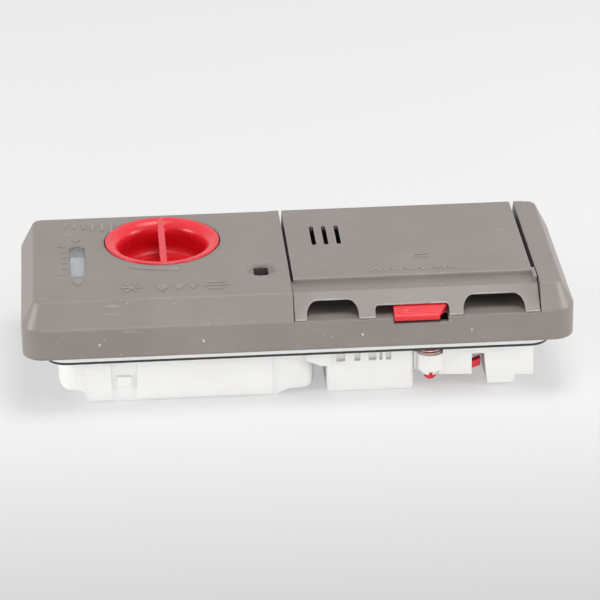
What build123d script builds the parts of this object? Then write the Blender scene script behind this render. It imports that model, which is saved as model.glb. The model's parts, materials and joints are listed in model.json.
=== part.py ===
import os

from build123d import *

# Dishwasher detergent dispenser, lying on its back: X along the panel, Y across it, Z up.
# The origin is under the middle of the panel, on the surface that the rear pots stand on.

# Face panel
panel_length = 250.0
panel_width = 104.0
panel_height = 26.0
wall_height = 14.4
bevel_inset = 6.0
corner_radius = 10.0
skin = 2.5
edge_round = 1.2
rear_depth = 28.0

# Lid bay, open at the front and the back of the panel
bay_left = -2.9
bay_right = 109.2
bay_wall = 4.6
deck_drop = 0.4
deck = 2.5
groove_depth = 2.4
groove_height = 2.8
groove_lift = 2.1
groove_stop = 12.0

# Detergent cup
cup_left = 10.4
cup_right = 98.0
cup_front = -26.0
cup_back = 10.0
cup_depth = 18.0
cup_wall = 2.0
cup_round = 8.0
cup_floor_round = 3.0

# Sliding lid
lid_gap_left = 1.4
lid_gap_right = 2.0
lip_gap = 0.6
lid_skin = 2.2
lid_front = -31.5
lid_step = 2.5
ledge_end = -41.0
skirt_wall = 2.2
skirt_front = -37.8
skirt_back_gap = 2.0
slide_gap = 0.3
lid_round = 0.8
arch_left = (3.1, 26.7)
arch_middle = (34.1, 67.6)
arch_right = (73.9, 102.0)
arch_height = 6.3
middle_height = 4.0
arch_round = 5.0
middle_round = 1.5
vent_x = (10.9, 16.6, 22.5)
vent_width = 2.2
vent_length = 21.5
vent_centre_y = 15.75
lid_rib_x = (35.0, 71.0)
lid_rib = 1.6
lid_rib_drop = 2.4
lip_post_front = -38.8

# Lid spring, drawn between a tab on the lid and a post on the deck
lid_spring_x = 101.5
lid_spring_lift = 3.6
lid_spring_radius = 1.8
lid_spring_wire = 0.4
lid_spring_turns = 12
tab_width = 4.0
tab_thickness = 1.8
tab_y = -30.4
post_radius = 1.5
post_y = 45.0
post_height = 5.5

# Rinse-aid cap, well and filler neck
cap_x = -59.2
cap_inset = 19.6
cap_radius = 26.5
cap_gap = 0.5
cap_proud = 0.5
well_depth = 17.0
well_wall = 2.0
cap_wall = 3.0
cap_rim = 0.8
cap_edge = 0.5
cap_pit_radius = 20.0
cap_pit_depth = 15.0
cap_pit_round = 4.0
cap_skirt = 10.0
cap_bar = 2.9
cap_base_radius = 21.5
plug_radius = 13.1
plug_bore = 10.6
plug_length = 8.6
bore_gap = 0.4
lug_reach = 2.0
lug_height = 2.4
lug_width = 10.0
neck_lip = 5.0
neck_wall = 1.6
neck_tip = 22.0
seal_inner = 17.0
seal_outer = 20.4
seal_gap = 0.1
seal_thickness = 0.4

# Level window
window_x = -98.8
window_y = -3.1
window_length = 33.8
window_width = 7.1
window_fit = 0.1
lens_sink = 0.7
lens_margin = 1.6
lens_wall = 0.8
flag_width = 6.2
flag_length = 20.5
flag_y = -4.8
flag_height = 4.0
flag_drop = 0.3
flag_stem = 2.4

# Rinse-aid outlet
outlet_x = -15.4
outlet_y = -19.5
outlet_radius = 7.1
outlet_floor_radius = 5.6
outlet_depth = 1.8
outlet_hole_x = 6.8
outlet_hole_y = 11.6
outlet_wall = 1.6
outlet_pad = 2.0

# Carrier flange and gasket
flange_length = 230.0
flange_width = 94.0
flange_radius = 10.0
flange = 4.0
gasket_inset = 0.5
gasket_width = 3.2
gasket_height = 1.4
pass_gap = 0.4

# Screws along the back edge, and bosses that fix the part in a door
screw_inset = 12.4
screw_x = (-100.0, -20.0, 25.0, 105.0)
screw_radius = 1.5
screw_head_radius = 2.8
screw_head = 2.0
screw_reach = 10.0
screw_fit = 0.05
boss_radius = 3.2
door_boss_x = 65.0
door_boss_length = 10.0
door_hole_radius = 1.6
door_hole_depth = 9.0

# Reservoir
tank_left = -109.3
tank_right = 7.3
tank_front = -40.0
tank_inset = 3.6
tank_wall = 2.0
tank_corner = 8.0
tank_shelf = 6.5
tank_shelf_right = -101.5
tank_floor_left = -96.5
tank_floor_right = -10.0
tank_heel = 3.0
tank_heel_left = -2.0
tank_heel_round = 4.0
tank_pad = 0.8
tank_pad_x = ((-96.4, -85.3), (-74.0, -12.0))
tank_pad_z = (1.0, 21.0)
clip_x = (-83.0, -76.4)
clip_z = (7.9, 13.0)
clip_reach = 1.6

# Latch: a wedge head in the lid's middle opening, on a stem through its guide
latch_left = 42.5
latch_right = 66.8
latch_foot_right = 62.9
groove_count = 4
groove_radius = 0.35
latch_top_gap = 0.4
latch_travel = 3.0
latch_lift = 0.4
latch_head_back = -43.6
latch_crest = -46.3
latch_nose = -52.7
latch_nose_drop = 1.6
latch_nose_height = 2.3
latch_nose_round = 0.9
latch_lip = 0.45
stem_x = 60.5
stem_y = -36.0
stem_radius = 3.0
stem_tip = 3.2
stem_tip_round = 2.6
stem_gap = 0.3
arm_half_width = 4.0
arm_back = 3.6
collar_radius = 6.3
collar_height = 2.0
collar_drop = 0.8

# Stem guide, and the spring on its top
guide_radius = 6.4
guide_top = 17.4
guide_shoulder = 8.4
guide_nose_radius = 4.5
guide_nose_end = 6.2
guide_round = 1.7
guide_slit = 1.6
guide_web = 6.0
guide_web_low = 12.0
guide_side_web = 1.6
latch_spring_radius = 5.6
latch_spring_wire = 0.32
latch_spring_turns = 4.5

# Release lever on its pin between two ears
pivot_x = 76.0
pivot_z = 8.5
pin_radius = 1.2
pin_cover = 0.8
pin_fit = 0.05
hub_radius = 2.6
lever_arm_width = 3.2
lever_arm_height = 3.0
lever_tip_x = 58.6
window_gap = 0.9
tail_x = 83.6
tail_low = 9.6
tail_high = 13.2
ear = 2.0
ear_gap = 0.4
ear_left = 64.0
ear_right = 79.3
ear_low_left = 6.9
ear_low_right = 6.3
ear_bar_low = 16.7
rear_ear_y = -18.0
rear_ear_left = 71.0
rear_ear_top = 17.0
rear_ear_bottom = 4.0
fork_width = 7.0
fork_slot = 3.8
fork_thickness = 3.6
fork_rise = 2.6

# Right-hand block of the carrier
block_top_left = 84.4
block_foot_left = 86.6
block_foot = 1.2
block_right = 107.7
block_foot_right = 96.7
block_step = 5.0
block_step_right = 99.0
block_back = 6.0
block_wall = 2.0
block_groove = 0.8

# Actuator cover
box_left = 12.8
box_right = 52.4
box_front = -40.0
box_back = 6.0
box_wall = 1.8
box_gap = 0.5
box_corner = 2.0
notch_x = (17.2, 25.5, 32.0, 36.9, 40.0)
notch_width = (3.9, 2.6, 3.4, 1.2, 2.2)
notch_depth = 8.5
notch_cut = 2.2
rim_depth = 4.0
rim_low = 13.0
bridge_left = 3.0
bridge_front = -42.0
bridge_gap = 0.3
bridge_top = 22.0
bridge_high = 17.6
bridge_low = 14.4
bridge_bend = 10.3
bridge_root = 2.4
cradle_x = (20.0, 38.0)
cradle = 2.0
pocket_x = (22.0, 38.0)
pocket_y = (-12.0, 2.0)
pocket_depth = 8.0
blade_x = (26.0, 34.0)
blade_y = -6.0
blade_width = 6.3
blade_thickness = 0.8
blade_low = 1.5
blade_high = 13.0
blade_fit = 0.05

# Solenoid, its plunger and the dosing piston, all on one axis along X
axis_y = -25.0
axis_gap = 0.5
yoke_left = 16.0
yoke_right = 44.0
yoke_half = 6.5
yoke_sheet = 1.2
bobbin_bore = 2.85
bobbin_wall = 0.85
bobbin_flange = 1.0
winding_inset = 0.5
plunger_radius = 2.5
plunger_left = 20.0
plunger_right = 48.4
rod_radius = 1.5
rod_hole_gap = 0.5
spring_collar = 1.2
spring_collar_radius = 4.2
plunger_spring_radius = 3.3
plunger_spring_wire = 0.35
plunger_spring_turns = 4
spring_end_gap = 0.1
end_collar_radius = 2.8
end_collar = 1.0
end_collar_gap = 1.0
piston_radius = 3.1
piston_gap = 0.3
piston_left = -5.0
piston_right = 4.0
sleeve_left = -8.0
sleeve_wall = 1.6
ring_x = -2.0
ring_width = 1.4
ring_depth = 0.6
ring_proud = 0.2

# Levels and edges worked out from the sizes above
z_base = rear_depth
z_wall = z_base + wall_height
z_top = z_base + panel_height
half_width = panel_width / 2
top_half_width = half_width - bevel_inset
top_radius = corner_radius - bevel_inset
deck_top = z_wall - deck_drop
deck_bottom = deck_top - deck
cup_floor = deck_top - cup_depth
cup_base = cup_floor - cup_wall
z_flange = z_base - flange
rear_top = cup_base - box_gap
axis_z = rear_top - axis_gap - yoke_half
screw_y = half_width - screw_inset
tank_back = screw_y - tank_inset
cap_y = tank_back - cap_inset
groove_bottom = deck_top + groove_lift
lid_left = bay_left + lid_gap_left
lid_right = bay_right - lid_gap_right
lid_under = z_top - lid_skin
lid_low = deck_top + slide_gap
ledge_top = z_top - lid_step
ledge_under = ledge_top - lid_skin
lid_back = top_half_width
tongue_low = groove_bottom + slide_gap
tongue_high = groove_bottom + groove_height - slide_gap
well_floor = z_top - well_depth
cap_base = well_floor + seal_gap + seal_thickness
cap_top = z_top + cap_proud
cap_lip = cap_radius - cap_rim - cap_pit_radius
pit_floor = cap_top - cap_pit_depth
lug_top = well_floor - neck_lip - bore_gap
plug_tip = cap_base - plug_length
latch_top = deck_top + middle_height + slide_gap - latch_top_gap
latch_under = deck_top + latch_lift
collar_top = z_flange + collar_height - collar_drop
stem_bore = stem_radius + stem_gap
lever_front = stem_y - lever_arm_width / 2
ear_front = lever_front - ear_gap
hub_back = rear_ear_y - ear - ear_gap
pin_range = (ear_front - ear + pin_cover, rear_ear_y)


def span(x_range, y_range, z_range, mode=Mode.ADD):
    # A block between two corners.
    with Locations((x_range[0], y_range[0], z_range[0])):
        Box(
            x_range[1] - x_range[0],
            y_range[1] - y_range[0],
            z_range[1] - z_range[0],
            align=(Align.MIN, Align.MIN, Align.MIN),
            mode=mode,
        )


def post(x, y, z_range, radius, mode=Mode.ADD):
    # An upright round post or hole.
    with Locations((x, y, z_range[0])):
        Cylinder(
            radius,
            z_range[1] - z_range[0],
            align=(Align.CENTER, Align.CENTER, Align.MIN),
            mode=mode,
        )


def rod(x_range, y, z, radius, mode=Mode.ADD):
    # A round rod or bore along X.
    with Locations(Location((x_range[0], y, z), (0, 90, 0))):
        Cylinder(
            radius,
            x_range[1] - x_range[0],
            align=(Align.CENTER, Align.CENTER, Align.MIN),
            mode=mode,
        )


def cross_rod(x, y_range, z, radius, mode=Mode.ADD):
    # A round rod or bore along Y.
    with Locations(Location((x, y_range[1], z), (90, 0, 0))):
        Cylinder(
            radius,
            y_range[1] - y_range[0],
            align=(Align.CENTER, Align.CENTER, Align.MIN),
            mode=mode,
        )


def side_plane(x):
    # Sketch plane across the panel: local x is Y, local y is Z.
    return Plane((x, 0, 0), x_dir=(0, 1, 0), z_dir=(1, 0, 0))


def front_plane(y):
    # Sketch plane along the panel: local x is X, local y is Z, extruded towards the back.
    return Plane((0, y, 0), x_dir=(1, 0, 0), z_dir=(0, -1, 0))


# Face panel: bevelled shell, lid bay, detergent cup, cap well, window and outlet
with BuildPart() as face_panel:
    with BuildSketch(Plane.XY.offset(z_base)):
        RectangleRounded(panel_length, panel_width, corner_radius)
    extrude(amount=wall_height)
    with BuildSketch(Plane.XY.offset(z_wall)):
        RectangleRounded(panel_length, panel_width, corner_radius)
    with BuildSketch(Plane.XY.offset(z_top)):
        RectangleRounded(panel_length - 2 * bevel_inset, panel_width - 2 * bevel_inset, top_radius)
    loft()
    fillet(face_panel.faces().sort_by(Axis.Z)[-1].outer_wire().edges(), edge_round)
    fillet(face_panel.edges().filter_by_position(Axis.Z, z_wall - skin, z_wall + skin), edge_round)

    with BuildSketch(Plane.XY.offset(z_base)):
        RectangleRounded(panel_length - 2 * skin, panel_width - 2 * skin, corner_radius - skin)
    extrude(amount=wall_height, mode=Mode.SUBTRACT)
    with BuildSketch(Plane.XY.offset(z_wall)):
        RectangleRounded(panel_length - 2 * skin, panel_width - 2 * skin, corner_radius - skin)
    with BuildSketch(Plane.XY.offset(z_top - skin)):
        RectangleRounded(
            panel_length - 2 * bevel_inset - skin,
            panel_width - 2 * bevel_inset - skin,
            top_radius,
        )
    loft(mode=Mode.SUBTRACT)

    # Side walls and deck of the lid bay
    for wall_x in (bay_left - bay_wall, bay_right):
        with BuildSketch(side_plane(wall_x)) as wall_profile:
            with BuildLine():
                Polyline(
                    (-half_width, z_base),
                    (half_width, z_base),
                    (half_width, z_wall),
                    (top_half_width, z_top),
                    (-top_half_width, z_top),
                    (-half_width, z_wall),
                    close=True,
                )
            make_face()
        extrude(amount=bay_wall)
    span((bay_left, bay_right), (-half_width, half_width), (deck_bottom, deck_top))
    span((bay_left, bay_right), (-panel_width, panel_width), (deck_top, 2 * z_top), Mode.SUBTRACT)
    for groove_x in (bay_left - groove_depth, bay_right):
        span(
            (groove_x, groove_x + groove_depth),
            (groove_stop - half_width, panel_width),
            (groove_bottom, groove_bottom + groove_height),
            Mode.SUBTRACT,
        )

    # Detergent cup
    with BuildSketch(Plane.XY.offset(cup_base)):
        with Locations(((cup_left + cup_right) / 2, (cup_front + cup_back) / 2)):
            RectangleRounded(
                cup_right - cup_left + 2 * cup_wall,
                cup_back - cup_front + 2 * cup_wall,
                cup_round + cup_wall,
            )
    extrude(amount=deck_top - cup_base)
    with BuildSketch(Plane.XY.offset(cup_floor)):
        with Locations(((cup_left + cup_right) / 2, (cup_front + cup_back) / 2)):
            RectangleRounded(cup_right - cup_left, cup_back - cup_front, cup_round)
    extrude(amount=cup_depth, mode=Mode.SUBTRACT)
    cup_floor_face = face_panel.faces().filter_by(Axis.Z).filter_by(
        lambda face: abs(face.center().Z - cup_floor) < deck_drop and face.center().X > cup_left
    )
    fillet(cup_floor_face[0].edges(), cup_floor_round)

    # Cap well, and the filler neck with the lip that the cap's lugs hook under
    post(cap_x, cap_y, (well_floor - well_wall, z_top - skin), cap_radius + cap_gap + well_wall)
    post(cap_x, cap_y, (neck_tip, well_floor), plug_radius + bore_gap + lug_reach + bore_gap + neck_wall)
    post(cap_x, cap_y, (well_floor, 2 * z_top), cap_radius + cap_gap, Mode.SUBTRACT)
    post(cap_x, cap_y, (0, well_floor), plug_radius + bore_gap, Mode.SUBTRACT)
    post(
        cap_x,
        cap_y,
        (0, well_floor - neck_lip),
        plug_radius + lug_reach + 2 * bore_gap,
        Mode.SUBTRACT,
    )
    with BuildSketch(Plane.XY.offset(well_floor - neck_lip)):
        with Locations((cap_x, cap_y)):
            Rectangle(2 * (plug_radius + lug_reach + bore_gap), lug_width + 2 * bore_gap)
    extrude(amount=neck_lip, mode=Mode.SUBTRACT)

    # Level window
    with BuildSketch(Plane.XY.offset(z_top - skin)):
        with Locations((window_x, window_y)):
            SlotOverall(window_length, window_width, rotation=90)
    extrude(amount=2 * skin, mode=Mode.SUBTRACT)

    # Rinse-aid outlet: round dish with a square duct down to the tank
    post(outlet_x, outlet_y, (z_top - skin - outlet_pad, z_top - skin), outlet_radius + outlet_pad)
    span(
        (outlet_x - outlet_hole_x / 2 - outlet_wall, outlet_x + outlet_hole_x / 2 + outlet_wall),
        (outlet_y - outlet_hole_y / 2 - outlet_wall, outlet_y + outlet_hole_y / 2 + outlet_wall),
        (z_base, z_top - skin),
    )
    with Locations((outlet_x, outlet_y, z_top - outlet_depth)):
        Cone(
            outlet_floor_radius,
            outlet_radius,
            outlet_depth,
            align=(Align.CENTER, Align.CENTER, Align.MIN),
            mode=Mode.SUBTRACT,
        )
    span(
        (outlet_x - outlet_hole_x / 2, outlet_x + outlet_hole_x / 2),
        (outlet_y - outlet_hole_y / 2, outlet_y + outlet_hole_y / 2),
        (0, z_top - outlet_depth),
        Mode.SUBTRACT,
    )

    # Screw bosses along the back
    for boss_x in screw_x:
        boss_top = deck_bottom if boss_x > bay_left else z_top - skin
        post(boss_x, screw_y, (z_base, boss_top), boss_radius)
        post(boss_x, screw_y, (0, z_base + screw_reach), screw_radius + screw_fit, Mode.SUBTRACT)

    # Room for the latch in the deck and the front wall, and the lid spring's post
    latch_clear = deck_top + latch_lift - latch_travel - slide_gap
    span(
        (latch_left - slide_gap, latch_right + slide_gap),
        (-panel_width, latch_head_back + slide_gap),
        (latch_clear, 2 * z_top),
        Mode.SUBTRACT,
    )
    span(
        (stem_x - arm_half_width - slide_gap, stem_x + arm_half_width + slide_gap),
        (latch_head_back, stem_y + arm_back + slide_gap),
        (deck_bottom, deck_top),
        Mode.SUBTRACT,
    )
    post(lid_spring_x, post_y, (deck_bottom, deck_top + post_height), post_radius)

# Sliding lid: bent sheet with a wider arched front, skirts and tongues
with BuildPart() as detergent_lid:
    slope_run = ledge_end + half_width
    slope_drop = ledge_top - lid_low
    slope_thickness = lid_skin * (slope_run**2 + slope_drop**2) ** 0.5 / slope_drop
    with BuildSketch(side_plane(lid_left)):
        with BuildLine():
            Polyline(
                (lid_back, z_top),
                (lid_front, z_top),
                (lid_front, ledge_top),
                (lid_front + lid_skin, ledge_under),
                (lid_front + lid_skin, lid_under),
                (lid_back, lid_under),
                close=True,
            )
        make_face()
    extrude(amount=lid_right - lid_left)
    with BuildSketch(side_plane(bay_left + lip_gap)):
        with BuildLine():
            Polyline(
                (lid_front + lid_skin, ledge_top),
                (ledge_end, ledge_top),
                (-half_width, lid_low),
                (slope_thickness - half_width, lid_low),
                (ledge_end + lid_skin, ledge_under),
                (lid_front + lid_skin, ledge_under),
                close=True,
            )
        make_face()
    extrude(amount=bay_right - bay_left - 2 * lip_gap)
    fillet(
        detergent_lid.edges()
        .filter_by(Axis.X)
        .filter_by_position(Axis.Z, z_top - slide_gap, z_top + slide_gap),
        lid_round,
    )

    # Back face, sloped as the panel's own bevel
    with BuildSketch(side_plane(lid_left)):
        with BuildLine():
            Polyline(
                (lid_back, z_top),
                (half_width, z_wall),
                (half_width, lid_low),
                (half_width - lid_skin, lid_low),
                (half_width - lid_skin, z_wall),
                (lid_back - lid_skin, lid_under),
                (lid_back - lid_skin, z_top),
                close=True,
            )
        make_face()
    extrude(amount=lid_right - lid_left)

    # Skirts with tongues that run in the bay's grooves
    for skirt_x in (lid_left, lid_right - skirt_wall):
        span(
            (skirt_x, skirt_x + skirt_wall),
            (skirt_front, lid_back - skirt_back_gap),
            (tongue_low, ledge_under),
        )
        span(
            (skirt_x, skirt_x + skirt_wall),
            (lid_front, lid_back - skirt_back_gap),
            (ledge_under, lid_under),
        )
    for tongue_x in (
        (bay_left - groove_depth + slide_gap, lid_left),
        (lid_right, bay_right + groove_depth - slide_gap),
    ):
        span(tongue_x, (skirt_front, lid_back - skirt_back_gap), (tongue_low, tongue_high))
    span((lid_right, bay_right - lip_gap), (lip_post_front, lid_front + lid_skin), (ledge_under, z_top))
    for rib_x in lid_rib_x:
        span(
            (rib_x - lid_rib / 2, rib_x + lid_rib / 2),
            (lid_front, lid_back - skirt_back_gap),
            (lid_under - lid_rib_drop, lid_under),
        )

    # Arched openings in the front, open at the lower edge
    for arch, height, round_corner in (
        (arch_left, arch_height, arch_round),
        (arch_middle, middle_height, middle_round),
        (arch_right, arch_height, arch_round),
    ):
        with BuildSketch(front_plane(skirt_front)) as arch_sketch:
            with Locations(((arch[0] + arch[1]) / 2, lid_low)):
                RectangleRounded(arch[1] - arch[0], 2 * height, round_corner)
        extrude(amount=half_width, mode=Mode.SUBTRACT)

    # Vent slots, and the tab for the spring
    for slot_x in vent_x:
        with BuildSketch(Plane.XY.offset(lid_under)):
            with Locations((slot_x, vent_centre_y)):
                SlotOverall(vent_length, vent_width, rotation=90)
        extrude(amount=lid_skin, mode=Mode.SUBTRACT)
    span(
        (lid_spring_x - tab_width / 2, lid_spring_x + tab_width / 2),
        (tab_y, tab_y + tab_thickness),
        (tongue_low, lid_under),
    )

# Space in the rinse cap: a round pit under a rolled lip, parted by the finger bar
with BuildPart() as cap_hollow:
    with BuildSketch(Plane((cap_x, cap_y, 0), x_dir=(1, 0, 0), z_dir=(0, -1, 0))) as pit:
        with BuildLine():
            Polyline(
                (0, pit_floor),
                (cap_pit_radius, pit_floor),
                (cap_pit_radius, cap_top),
                (cap_radius, cap_top),
                (cap_radius, 2 * cap_top),
                (0, 2 * cap_top),
                close=True,
            )
        make_face()
        fillet(pit.vertices().group_by(Axis.Y)[0].sort_by(Axis.X)[-1], cap_pit_round)
        lip_corner = pit.vertices().filter_by_position(Axis.Y, cap_top - cap_edge, cap_top + cap_edge)
        fillet(lip_corner.sort_by(Axis.X)[0], cap_lip)
    revolve(axis=Axis((cap_x, cap_y, 0), (0, 0, 1)))
    span(
        (cap_x - cap_bar / 2, cap_x + cap_bar / 2),
        (cap_y - cap_radius, cap_y + cap_radius),
        (pit_floor, cap_top),
        Mode.SUBTRACT,
    )

# Rinse cap: pit with a finger bar, and a plug with two lugs
with BuildPart() as rinse_cap:
    with BuildSketch(Plane((cap_x, cap_y, 0), x_dir=(1, 0, 0), z_dir=(0, -1, 0))):
        with BuildLine():
            Polyline(
                (0, cap_base),
                (cap_base_radius, cap_base),
                (cap_radius, cap_top - cap_skirt),
                (cap_radius, cap_top),
                (0, cap_top),
                close=True,
            )
        make_face()
    revolve(axis=Axis((cap_x, cap_y, 0), (0, 0, 1)))
    fillet(rinse_cap.edges().filter_by(GeomType.CIRCLE).sort_by(Axis.Z)[-1], cap_edge)
    add(cap_hollow.part, mode=Mode.SUBTRACT)
    post(cap_x, cap_y, (plug_tip, cap_base), plug_radius)
    with BuildSketch(Plane.XY.offset(lug_top - lug_height)):
        with Locations((cap_x, cap_y)):
            Circle(plug_radius + lug_reach)
            Rectangle(lug_width, 2 * cap_radius, mode=Mode.INTERSECT)
    extrude(amount=lug_height)
    post(cap_x, cap_y, (0, pit_floor - cap_wall), plug_bore, Mode.SUBTRACT)

with BuildPart() as cap_seal:
    post(cap_x, cap_y, (well_floor + seal_gap, cap_base), seal_outer)
    post(cap_x, cap_y, (0, z_top), seal_inner, Mode.SUBTRACT)

# Level window lens and the white indicator under it
with BuildPart() as level_lens:
    lens_length = window_length + 2 * lens_margin
    lens_width = window_width + 2 * lens_margin
    with BuildSketch(Plane.XY.offset(z_base)):
        with Locations((window_x, window_y)):
            SlotOverall(lens_length, lens_width, rotation=90)
    extrude(amount=z_top - skin - z_base)
    with BuildSketch(Plane.XY.offset(z_base)):
        with Locations((window_x, window_y)):
            SlotOverall(lens_length - 2 * lens_wall, lens_width - 2 * lens_wall, rotation=90)
    extrude(amount=z_top - skin - z_base - lens_wall, mode=Mode.SUBTRACT)
    with BuildSketch(Plane.XY.offset(z_top - skin)):
        with Locations((window_x, window_y)):
            SlotOverall(window_length - 2 * window_fit, window_width - 2 * window_fit, rotation=90)
    extrude(amount=skin - lens_sink)

with BuildPart() as level_indicator:
    flag_top = z_top - skin - lens_wall - flag_drop
    span(
        (window_x - flag_width / 2, window_x + flag_width / 2),
        (flag_y - flag_length / 2, flag_y + flag_length / 2),
        (flag_top - flag_height, flag_top),
    )
    span(
        (window_x - flag_stem / 2, window_x + flag_stem / 2),
        (flag_y - flag_stem / 2, flag_y + flag_stem / 2),
        (z_base, flag_top - flag_height),
    )

# Carrier: flange plate with the stem guide, the lever's ears and the right-hand block
with BuildPart() as carrier:
    with BuildSketch(Plane.XY.offset(z_flange)):
        RectangleRounded(flange_length, flange_width, flange_radius)
    extrude(amount=flange)
    with BuildSketch(Plane.XY.offset(z_flange)):
        with Locations(((cup_left + cup_right) / 2, (cup_front + cup_back) / 2)):
            RectangleRounded(
                cup_right - cup_left + 2 * cup_wall + 2 * pass_gap,
                cup_back - cup_front + 2 * cup_wall + 2 * pass_gap,
                cup_round + cup_wall + pass_gap,
            )
        with Locations((outlet_x, outlet_y)):
            Rectangle(outlet_hole_x, outlet_hole_y)
        with Locations((cap_x, cap_y)):
            Circle(plug_radius + lug_reach + 2 * bore_gap + neck_wall + pass_gap)
        with Locations((stem_x, stem_y)):
            Circle(collar_radius + pass_gap)
        with Locations(*[(x, screw_y) for x in screw_x]):
            Circle(screw_radius + pass_gap)
    extrude(amount=flange, mode=Mode.SUBTRACT)

    # Bosses that take the door's fixing screws
    for door_x in (-door_boss_x, door_boss_x):
        post(door_x, screw_y, (z_flange - door_boss_length, z_flange), boss_radius)
        post(
            door_x,
            screw_y,
            (z_flange - door_boss_length, z_flange - door_boss_length + door_hole_depth),
            door_hole_radius,
            Mode.SUBTRACT,
        )

    # Right-hand block: hollow, with a slanted side and a stepped foot
    with BuildSketch(front_plane(block_back)):
        with BuildLine():
            foot = Polyline(
                (block_right, block_step),
                (block_right, rear_top),
                (block_top_left, rear_top),
                (block_foot_left, block_foot),
                (block_foot_right, block_foot),
            )
            TangentArc(foot @ 1, (block_step_right, block_step), tangent=(1, 0))
            Line((block_step_right, block_step), foot @ 0)
        make_face()
    extrude(amount=block_back - tank_front)
    with BuildSketch(front_plane(block_back)):
        with BuildLine():
            Polyline(
                (block_right - block_wall, block_step + block_wall),
                (block_right - block_wall, rear_top - block_wall),
                (block_foot_left + block_wall / 2, rear_top - block_wall),
                (block_foot_left + block_wall, block_foot + block_wall),
                (block_foot_right, block_foot + block_wall),
                (block_step_right, block_step + block_wall),
                close=True,
            )
        make_face()
    extrude(amount=block_back - tank_front - block_wall, mode=Mode.SUBTRACT)
    span(
        (block_top_left, block_right),
        (tank_front, cup_front - cup_wall - box_gap),
        (rear_top - block_wall, z_flange),
    )
    span(
        (block_foot_right, block_right),
        (tank_front - block_groove, tank_front + block_groove),
        (rear_top - block_groove, rear_top + block_groove),
        Mode.SUBTRACT,
    )

    # Stem guide: shouldered tube with a slit nose
    with BuildSketch(Plane((stem_x, stem_y, 0), x_dir=(1, 0, 0), z_dir=(0, -1, 0))):
        with BuildLine():
            Polyline(
                (0, guide_nose_end),
                (guide_nose_radius, guide_nose_end),
                (guide_nose_radius, guide_shoulder),
                (guide_radius, guide_shoulder),
                (guide_radius, guide_top),
                (0, guide_top),
                close=True,
            )
        make_face()
    revolve(axis=Axis((stem_x, stem_y, 0), (0, 0, 1)))
    fillet(
        carrier.edges().filter_by(GeomType.CIRCLE).filter_by(
            lambda edge: abs(edge.radius - guide_radius) < stem_gap and edge.center().Z < guide_top
        ),
        guide_round,
    )
    fillet(
        carrier.edges().filter_by(GeomType.CIRCLE).filter_by(
            lambda edge: abs(edge.radius - guide_nose_radius) < stem_gap and edge.center().Z < guide_shoulder
        ),
        guide_round,
    )
    span(
        (stem_x - guide_web / 2, stem_x + guide_web / 2),
        (stem_y + stem_bore, cup_front - cup_wall - box_gap),
        (guide_web_low, z_flange),
    )
    span(
        (box_right + box_gap, stem_x - stem_bore),
        (stem_y - guide_side_web / 2, stem_y + guide_side_web / 2),
        (guide_shoulder, guide_top),
    )

    # Front ear beside the guide and rear ear on the block
    with BuildSketch(front_plane(ear_front)):
        with BuildLine():
            Polyline(
                (ear_left, z_flange),
                (ear_left, ear_low_left),
                (ear_right, ear_low_right),
                (ear_right, z_flange),
                close=True,
            )
        make_face()
    extrude(amount=ear)
    span((ear_left, block_top_left + block_wall), (ear_front - ear, ear_front), (ear_bar_low, z_flange))
    span(
        (rear_ear_left, block_foot_left + block_wall / 2),
        (rear_ear_y - ear, rear_ear_y),
        (rear_ear_bottom, rear_ear_top),
    )
    cross_rod(pivot_x, pin_range, pivot_z, pin_radius + pin_fit / 2, Mode.SUBTRACT)
    post(stem_x, stem_y, (0, guide_top), stem_bore, Mode.SUBTRACT)
    post(stem_x, stem_y, (guide_top, z_flange), collar_radius + pass_gap, Mode.SUBTRACT)
    span(
        (stem_x - guide_slit / 2, stem_x + guide_slit / 2),
        (stem_y - 2 * guide_radius, stem_y),
        (0, guide_shoulder),
        Mode.SUBTRACT,
    )
    span(
        (stem_x, stem_x + guide_radius + stem_gap),
        (lever_front - slide_gap, stem_y + lever_arm_width / 2 + slide_gap),
        (pivot_z - lever_arm_height / 2 - latch_travel, pivot_z + lever_arm_height / 2 + window_gap),
        Mode.SUBTRACT,
    )

# Door gasket under the flange
with BuildPart() as door_gasket:
    with BuildSketch(Plane.XY.offset(z_flange - gasket_height)):
        RectangleRounded(
            flange_length - 2 * gasket_inset,
            flange_width - 2 * gasket_inset,
            flange_radius - gasket_inset,
        )
        RectangleRounded(
            flange_length - 2 * gasket_inset - 2 * gasket_width,
            flange_width - 2 * gasket_inset - 2 * gasket_width,
            flange_radius - gasket_inset - gasket_width,
            mode=Mode.SUBTRACT,
        )
    extrude(amount=gasket_height)

# Rinse-aid reservoir: stepped pot under the flange, with the dosing sleeve in its end wall
def tank_section(inset):
    # The pot's long section, or the space inside it.
    with BuildSketch(front_plane(tank_back - inset)) as section:
        with BuildLine():
            rim = Polyline(
                (tank_shelf_right, tank_shelf + inset),
                (tank_left + inset, tank_shelf + inset),
                (tank_left + inset, z_flange),
                (tank_right - inset, z_flange),
                (tank_right - inset, tank_heel + inset),
                (tank_heel_left, tank_heel + inset),
            )
            heel = TangentArc(rim @ 1, (tank_floor_right, inset), tangent=(-1, 0))
            floor = Line(heel @ 1, (tank_floor_left + inset, inset))
            TangentArc(rim @ 0, floor @ 1, tangent=(1, 0))
        make_face()
        low_corners = section.vertices().filter_by(lambda corner: corner.Y < z_flange)
        ends = ShapeList([low_corners.sort_by(Axis.X)[0], low_corners.sort_by(Axis.X)[-1]])
        fillet(ends, tank_heel_round - inset)
    return section.sketch


def tank_plan(inset):
    # The pot's outline seen from below, or that of the space inside it.
    with BuildSketch(Plane.XY) as plan:
        with Locations(((tank_left + tank_right) / 2, (tank_front + tank_back) / 2)):
            RectangleRounded(
                tank_right - tank_left - 2 * inset,
                tank_back - tank_front - 2 * inset,
                tank_corner - inset,
            )
    return plan.sketch


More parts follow.
